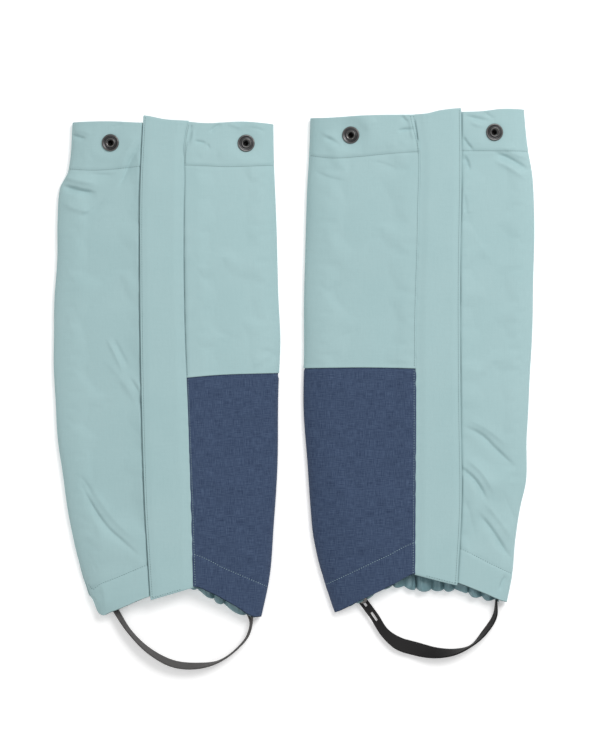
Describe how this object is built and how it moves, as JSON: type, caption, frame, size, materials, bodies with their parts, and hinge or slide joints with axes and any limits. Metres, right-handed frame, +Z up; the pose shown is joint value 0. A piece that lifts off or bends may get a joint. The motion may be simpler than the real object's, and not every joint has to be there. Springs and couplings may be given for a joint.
{
  "type": "gaiters",
  "caption": "Pair of zip-front hiking gaiters with a storm flap, reinforced ankle guard, press-stud knee hem and rubber instep straps, laid flat.",
  "frame": {"origin": "middle of the laid-out pair's box, on the floor", "axes": "+Z up from the floor, +Y towards the knee hems, +X towards the right gaiter"},
  "size_m": [0.4099, 0.4812, 0.0192],
  "materials": {
    "shell_cloth": "matt woven shell cloth",
    "guard_cloth": "matt coarse ripstop",
    "elastic": "knitted elastic",
    "zip_tape": "woven tape",
    "zip_plastic": "moulded teeth",
    "hook_and_loop": "hook and loop tape",
    "dark_metal": "gunmetal plating",
    "spring_steel": "bright wire",
    "strap_rubber": "matt rubber"
  },
  "bodies": {
    "left_shell": {"left_outer_panel": "shell_cloth", "left_inner_panel": "shell_cloth", "left_ankle_guard": "guard_cloth", "left_back_panel": "shell_cloth", "left_heel_hem": "shell_cloth", "left_hem_elastic": "elastic", "left_zip_tape_outer": "zip_tape", "left_zip_tape_inner": "zip_tape", "left_zip_teeth_outer": "zip_plastic", "left_zip_teeth_inner": "zip_plastic", "left_zip_top_stops": "zip_plastic", "left_zip_retainer_box": "zip_plastic", "left_zip_insert_pin": "zip_plastic", "left_loop_strip": "hook_and_loop", "left_snap_sockets": "dark_metal", "left_snap_springs": "spring_steel", "left_snap_caps": "dark_metal", "left_strap_button": "dark_metal", "left_strap_rivet": "dark_metal", "left_strap_ends": "strap_rubber"},
    "left_flap": {"left_flap_face": "shell_cloth", "left_flap_lining": "shell_cloth", "left_hook_strip": "hook_and_loop"},
    "left_slider": {"left_zip_slider": "dark_metal"},
    "left_puller": {"left_zip_puller": "dark_metal"},
    "left_strap": {"left_instep_strap": "strap_rubber"},
    "right_shell": {"right_outer_panel": "shell_cloth", "right_inner_panel": "shell_cloth", "right_ankle_guard": "guard_cloth", "right_back_panel": "shell_cloth", "right_heel_hem": "shell_cloth", "right_hem_elastic": "elastic", "right_zip_tape_outer": "zip_tape", "right_zip_tape_inner": "zip_tape", "right_zip_teeth_outer": "zip_plastic", "right_zip_teeth_inner": "zip_plastic", "right_zip_top_stops": "zip_plastic", "right_zip_retainer_box": "zip_plastic", "right_zip_insert_pin": "zip_plastic", "right_loop_strip": "hook_and_loop", "right_snap_sockets": "dark_metal", "right_snap_springs": "spring_steel", "right_snap_caps": "dark_metal", "right_strap_button": "dark_metal", "right_strap_rivet": "dark_metal", "right_strap_ends": "strap_rubber"},
    "right_flap": {"right_flap_face": "shell_cloth", "right_flap_lining": "shell_cloth", "right_hook_strip": "hook_and_loop"},
    "right_slider": {"right_zip_slider": "dark_metal"},
    "right_puller": {"right_zip_puller": "dark_metal"},
    "right_strap": {"right_instep_strap": "strap_rubber"}
  },
  "joints": [
    {"name": "right_gaiter_slide", "type": "slide", "parent": "left_shell", "child": "right_shell", "axis": [1, 0, 0], "range_m": [0, 0.25]},
    {"name": "left_flap_hinge", "type": "hinge", "parent": "left_shell", "child": "left_flap", "pos_m": [-0.09065, 0.03155, 0.0178], "axis": [-0.0175, 0.9998, 0], "range_deg": [0, 165]},
    {"name": "left_zip_slide", "type": "slide", "parent": "left_shell", "child": "left_slider", "axis": [0.0175, -0.9998, 0], "range_m": [0, 0.345]},
    {"name": "left_puller_hinge", "type": "hinge", "parent": "left_slider", "child": "left_puller", "pos_m": [-0.10416, 0.20384, 0.0164], "axis": [-0.9998, -0.0175, 0], "range_deg": [0, 63]},
    {"name": "left_strap_swing", "type": "hinge", "parent": "left_shell", "child": "left_strap", "pos_m": [-0.09467, -0.1963, 0.0063], "axis": [-0.9989, 0.0477, 0], "range_deg": [0, 90]},
    {"name": "right_flap_hinge", "type": "hinge", "parent": "right_shell", "child": "right_flap", "pos_m": [0.1044, 0.0394, 0.0178], "axis": [0, -1, 0], "range_deg": [0, 165]},
    {"name": "right_zip_slide", "type": "slide", "parent": "right_shell", "child": "right_slider", "axis": [0, -1, 0], "range_m": [0, 0.345]},
    {"name": "right_puller_hinge", "type": "hinge", "parent": "right_slider", "child": "right_puller", "pos_m": [0.1189, 0.2119, 0.0164], "axis": [-1, 0, 0], "range_deg": [0, 63]},
    {"name": "right_strap_swing", "type": "hinge", "parent": "right_shell", "child": "right_strap", "pos_m": [0.1164, -0.18835, 0.0063], "axis": [-0.9979, -0.0651, 0], "range_deg": [0, 90]}
  ],
  "couplings": [
    {"joint": "left_puller_hinge", "follows": "left_flap_hinge", "ratio": 0.38},
    {"joint": "right_puller_hinge", "follows": "right_flap_hinge", "ratio": 0.38}
  ]
}
